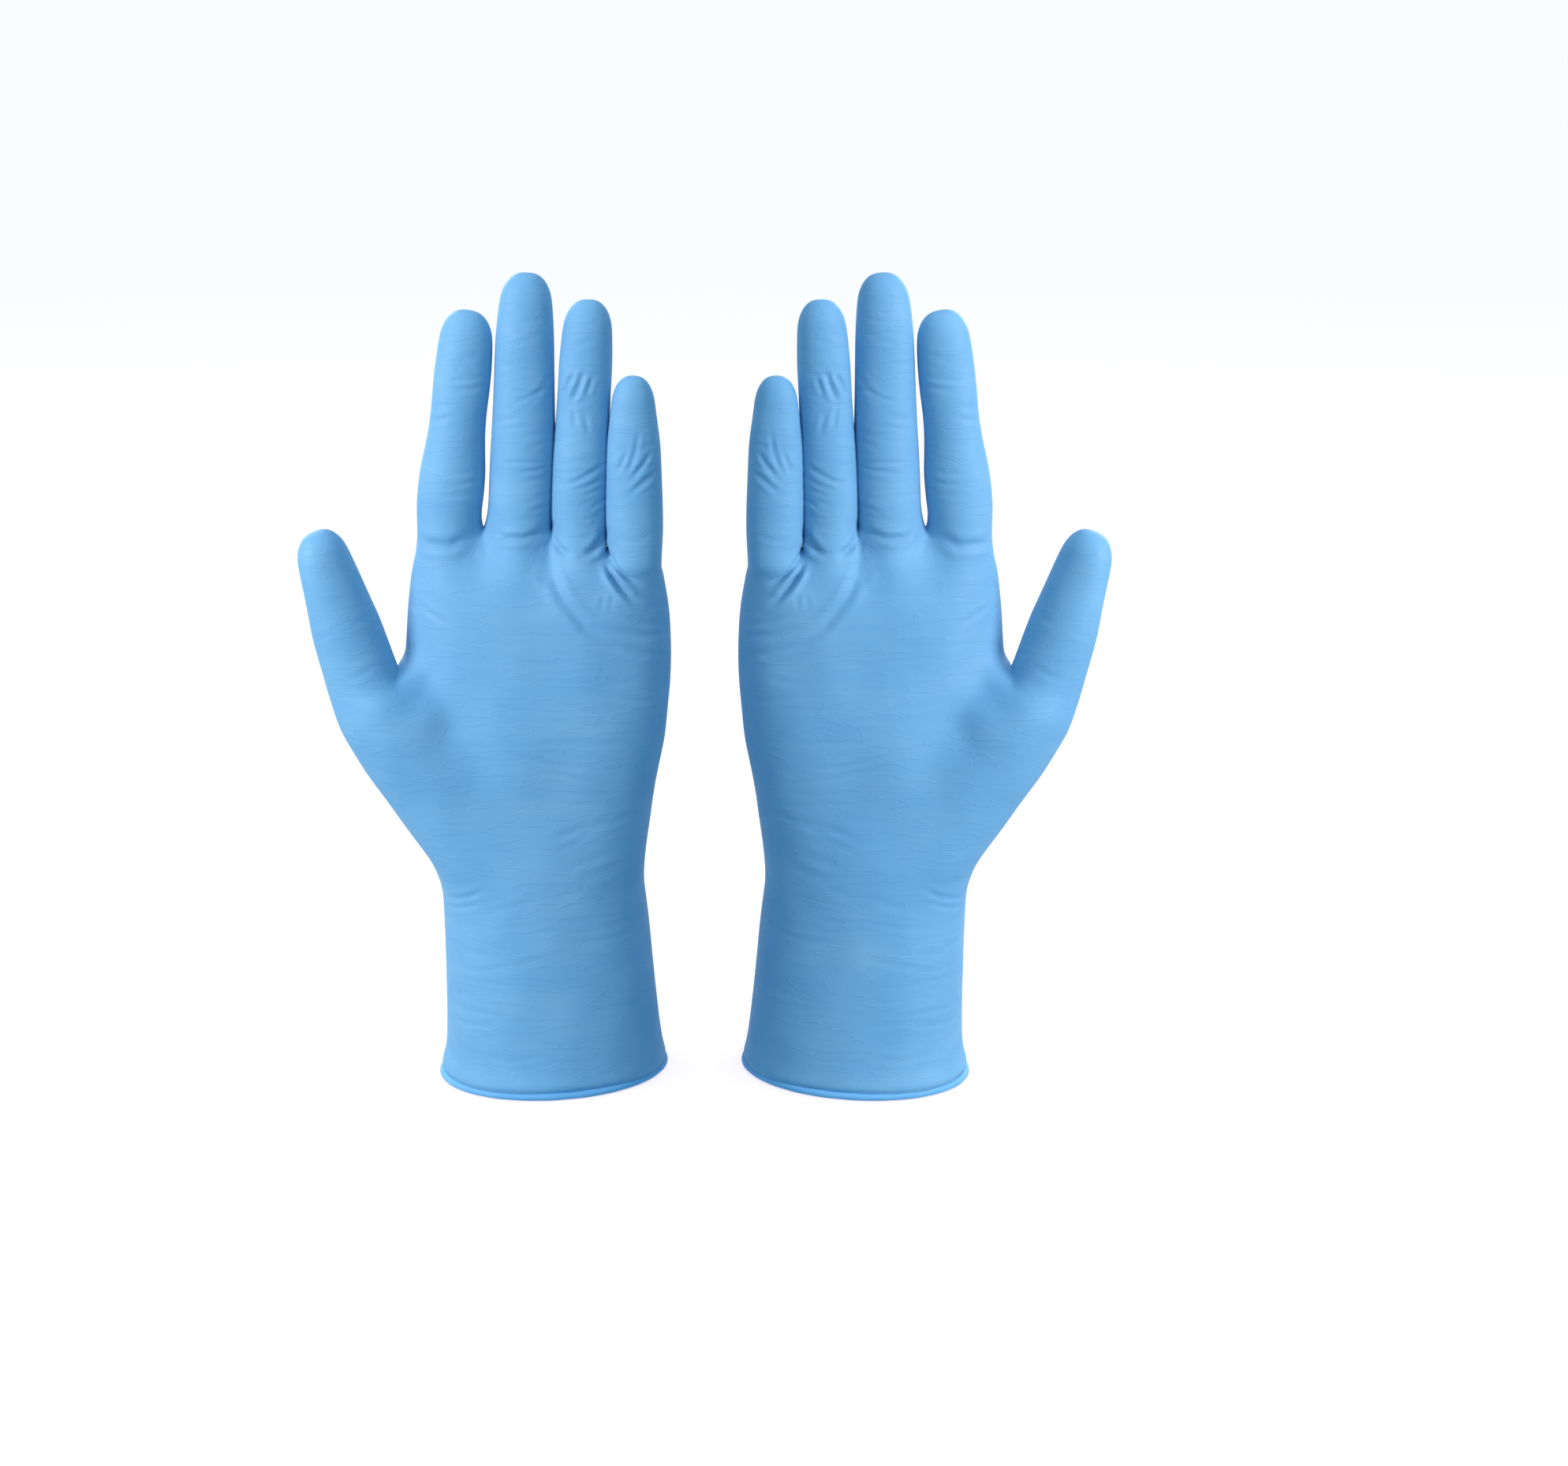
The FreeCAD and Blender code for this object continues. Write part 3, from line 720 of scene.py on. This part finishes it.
def nitrile(name, pale, mid, deep):
    """Satin nitrile: mottled where the film is thicker or thinner, with a fine dipped texture."""
    material, nodes, links, shader = node_tree(name)
    place = nodes.new("ShaderNodeTexCoord").outputs["Object"]
    mottle = spread(nodes, links, noise(nodes, links, place, 38, 4.0, 0.55), 0.36, 0.66)
    streaks = noise(nodes, links, place, 55, 3.0, 0.5, (0.5, 0.5, 2.4))
    streak = spread(nodes, links, streaks, 0.35, 0.7)
    base = blended(nodes, links, mottle, mid, pale)
    deeper = spread(nodes, links, streak, 0.0, 1.0, 0.30, 0.0)
    base = blended(nodes, links, deeper, base, deep)
    specks = spread(nodes, links, noise(nodes, links, place, 900, 2.0), 0.60, 0.80, 0.0, 0.10)
    base = blended(nodes, links, specks, base, deep)
    links.new(base, shader.inputs["Base Color"])
    satin = spread(nodes, links, noise(nodes, links, place, 120, 4.0), 0.3, 0.7, 0.56, 0.70)
    links.new(satin, shader.inputs["Roughness"])
    shader.inputs["IOR"].default_value = 1.5
    shader.inputs["Specular IOR Level"].default_value = 0.34
    grain = noise(nodes, links, place, 1500, 3.0, 0.6)
    ripple = noise(nodes, links, place, 160, 4.0, 0.55, (0.6, 0.6, 1.9))
    drag = noise(nodes, links, place, 420, 3.0, 0.5, (0.7, 0.7, 1.6))
    # Fine crinkles are the thin lines where a noise crosses its middle value.
    crossing = nodes.new("ShaderNodeMath")
    crossing.operation = "PINGPONG"
    crossing.inputs[1].default_value = 0.5
    links.new(noise(nodes, links, place, 130, 2.0, 0.5, (0.4, 0.4, 1.8)), crossing.inputs[0])
    crinkle = spread(nodes, links, crossing.outputs["Value"], 0.482, 0.5, 0.0, 1.0)
    normal = bumped(nodes, links, ripple, 0.00020, 0.5)
    normal = bumped(nodes, links, drag, 0.00008, 0.5, normal)
    normal = bumped(nodes, links, crinkle, 0.00010, 0.5, normal)
    normal = bumped(nodes, links, grain, 0.00003, 0.5, normal)
    links.new(normal, shader.inputs["Normal"])
    return material


def white_paper():
    """Bright matt paper. Its glow is warm, because the light that fills the room is blue."""
    material, _, _, shader = node_tree("paper")
    shader.inputs["Base Color"].default_value = (0.9, 0.9, 0.9, 1.0)
    shader.inputs["Roughness"].default_value = 0.9
    shader.inputs["Specular IOR Level"].default_value = 0.0
    shader.inputs["Emission Color"].default_value = (1.0, 0.72, 0.58, 1.0)
    shader.inputs["Emission Strength"].default_value = 0.66
    return material


FILM_BLUE = nitrile("nitrile_film", pale=(0.172, 0.400, 0.640), mid=(0.146, 0.365, 0.610),
                    deep=(0.095, 0.300, 0.560))
BEAD_BLUE = nitrile("nitrile_bead", pale=(0.170, 0.460, 0.780), mid=(0.135, 0.410, 0.740),
                    deep=(0.080, 0.310, 0.620))


# ---------------------------------------------------------------- pieces
def mirrored(points, quads):
    return points * np.array([-1, 1, 1]), quads[:, ::-1]


def add_object(name, points, faces, normals, material, glove):
    mesh = bpy.data.meshes.new(name)
    mesh.from_pydata((points * MM).tolist(), [], faces)
    mesh.materials.append(material)
    mesh.polygons.foreach_set("use_smooth", np.ones(len(mesh.polygons), dtype=bool))
    mesh.update()
    if normals is not None:
        mesh.normals_split_custom_set_from_vertices(normals.tolist())
    piece = bpy.data.objects.new(name, mesh)
    glove.objects.link(piece)
    return piece


def film_piece(name, points, quads, normals, glove):
    """A stretch of film with its inner face, closed around its edges."""
    used, flat = np.unique(quads, return_inverse=True)
    outer = flat.reshape(-1, 4)
    count = len(used)
    inner = outer[:, ::-1] + count
    edges = np.concatenate([outer[:, (j, (j + 1) % 4)] for j in range(4)])
    keys = edges[:, 0] * count + edges[:, 1]
    open_edges = edges[~np.isin(keys, edges[:, 1] * count + edges[:, 0])]
    a, b = open_edges[:, 0], open_edges[:, 1]
    rim = np.stack([b, a, a + count, b + count], axis=1)
    both = np.concatenate([points[used], points[used] - normals[used] * FILM])
    shading = np.concatenate([normals[used], -normals[used]])
    faces = np.concatenate([outer, inner, rim]).tolist()
    return add_object(name, both, faces, shading, FILM_BLUE, glove)


CUFF_EDGE = (35.0, 27.5)  # half width and half depth of the cuff outside its bead
STEP_DEPTH, STEP_PLACE = 0.10, 13  # the step's place is counted in points around the bead


def bead_mesh():
    """The rolled edge: a round bead with a faint step where the roll ends, on its inside."""
    around, along = 20, 320
    half_width, half_depth = CUFF_EDGE[0] - BEAD / 2, CUFF_EDGE[1] - BEAD / 2
    turn = math.radians(TRUNK[0, 5])
    points = []
    for j in range(along):
        angle = 2 * math.pi * j / along
        x, y = half_width * math.cos(angle), half_depth * math.sin(angle)
        out = np.array([x / half_width ** 2, y / half_depth ** 2])
        out /= np.linalg.norm(out)
        thick = BEAD * (1 + 0.035 * math.sin(5 * angle + 1) + 0.025 * math.sin(13 * angle))
        for k in range(around):
            roll = 2 * math.pi * k / around
            step = STEP_DEPTH * math.exp(-((k - STEP_PLACE) / 1.2) ** 2)
            reach = min(thick, BEAD) - step + 0.02 * math.sin(23 * angle + 2 * roll)
            px, py = np.array([x, y]) + out * reach * math.cos(roll)
            rx = px * math.cos(turn) - py * math.sin(turn) + TRUNK[0, 1]
            ry = px * math.sin(turn) + py * math.cos(turn)
            points.append((rx, ry, BEAD + reach * math.sin(roll)))
    faces = []
    for j in range(along):
        for k in range(around):
            following, above = (j + 1) % along, (k + 1) % around
            faces.append((j * around + k, following * around + k,
                          following * around + above, j * around + above))
    return np.array(points), np.array(faces)


def make_glove(side_name, side, points, quads, piece_of, normals):
    """One glove's pieces.

    The palm's film rides on the palm. Each other stretch stays where it is made.
    """
    body = f"{side_name}_{{}}".format
    glove = bpy.data.collections.new(f"{side_name}_glove")
    bpy.context.scene.collection.children.link(glove)
    if side > 0:
        points, quads = mirrored(points, quads)
        normals = normals * np.array([-1, 1, 1])
    for number, name in enumerate(PIECES):
        stretch = quads[piece_of == number]
        piece = film_piece(body(name + "_film"), points, stretch, normals, glove)
        if name == "cuff":
            body("cuff")
            body("palm")
            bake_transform(piece)
            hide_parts(body("cuff"))
        elif name == "palm":
            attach(piece, body("palm"))
            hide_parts(body("palm"))
        else:
            digit, word = name.rsplit("_", 1)
            parent = "palm" if word == "root" else PIECES[number - 1]
            body(parent)
            body(name)
            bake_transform(piece)
            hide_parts(body(name))
    bead_points, bead_faces = bead_mesh()
    if side > 0:
        bead_points, bead_faces = mirrored(bead_points, bead_faces)
    bead = add_object(body("rolled_bead"), bead_points, bead_faces.tolist(), None, BEAD_BLUE, glove)
    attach(bead, body("cuff"))
    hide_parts(body("cuff_bead"))
    return glove


cage, PIECES = build_cage()
points, quads, piece_of = subdivided(cage)
points = wrinkled(points, normals_of(points, quads))
normals = normals_of(points, quads)
GLOVES = {name: make_glove(name, side, points, quads, piece_of, normals)
          for name, side in (("left", -1), ("right", 1))}


# ---------------------------------------------------------------- studio
def backdrop():
    """A round pale floor that sweeps up into a wall all about.

    It glows, but lights the gloves only as a reflection in their sheen.
    """
    floor, bend_radius, wall, sides = 2.6, 0.8, 4.0, 72
    run = [(0.5, 0.0), (1.5, 0.0)]
    for a in np.radians(range(0, 91, 10)):
        run.append((floor + bend_radius * math.sin(a), bend_radius - bend_radius * math.cos(a)))
    run.append((floor + bend_radius, wall))
    points = [(0.0, 0.0, 0.0)]
    for radius, height in run:
        for a in np.linspace(0, 2 * math.pi, sides, endpoint=False):
            points.append((radius * math.cos(a), radius * math.sin(a), height))
    faces = [(0, 1 + j, 1 + (j + 1) % sides) for j in range(sides)]
    for ring in range(len(run) - 1):
        start = 1 + ring * sides
        for j in range(sides):
            k = (j + 1) % sides
            faces.append((start + j, start + sides + j, start + sides + k, start + k))
    mesh = bpy.data.meshes.new("backdrop")
    mesh.from_pydata(points, [], faces)
    mesh.materials.append(white_paper())
    mesh.polygons.foreach_set("use_smooth", [True] * len(faces))
    paper = bpy.data.objects.new("backdrop", mesh)
    paper.visible_diffuse = False
    paper.visible_shadow = False
    bpy.context.scene.collection.objects.link(paper)


def softbox(name, place, target, size, power):
    lamp = bpy.data.lights.new(name, "AREA")
    lamp.shape, lamp.size, lamp.size_y, lamp.energy = "RECTANGLE", *size, power
    holder = bpy.data.objects.new(name, lamp)
    holder.location = place
    holder.rotation_euler = (Vector(target) - Vector(place)).to_track_quat("-Z", "Y").to_euler()
    holder.visible_camera = False
    bpy.context.scene.collection.objects.link(holder)
    return holder


def light_studio():
    """Each glove has its own two lights at its thumb's side, which leave the other glove alone."""
    for side, glove in ((-1, GLOVES["left"]), (1, GLOVES["right"])):
        target = (side * 0.06, 0, 0.14)
        key = softbox(f"key_light_{side}", (side * 0.575, -0.44, 0.38), target, (0.22, 0.30), 5.0)
        back = softbox(f"back_light_{side}", (side * 0.50, 0.80, 0.50), target, (0.3, 0.4), 4.0)
        key.data.color = (1.0, 0.90, 0.86)
        for lamp in (key, back):
            lamp.light_linking.receiver_collection = glove
    softbox("top_light", (0, 0.1, 1.7), (0, 0, 0.1), (2.2, 1.6), 11)
    world = bpy.data.worlds.new("studio")
    world.use_nodes = True
    sky = world.node_tree.nodes["Background"]
    sky.inputs["Color"].default_value = (0.44, 0.80, 1.0, 1)
    sky.inputs["Strength"].default_value = 0.65
    bpy.context.scene.world = world


def add_camera():
    """The view from 14 degrees above, 0.8 m from the gloves' middle."""
    target, distance, rise = Vector((0, 0, 0.120)), 0.8, math.radians(14)
    lens = bpy.data.cameras.new("camera")
    lens.lens, lens.sensor_width = 61.24, 36.0
    lens.shift_x, lens.shift_y = 0.0506, -0.0265
    camera = bpy.data.objects.new("camera", lens)
    camera.location = target + distance * Vector((0, -math.cos(rise), math.sin(rise)))
    camera.rotation_euler = (math.pi / 2 - rise, 0, 0)
    bpy.context.scene.collection.objects.link(camera)
    bpy.context.scene.camera = camera


backdrop()
light_studio()
add_camera()
bpy.context.scene.view_settings.view_transform = "Standard"
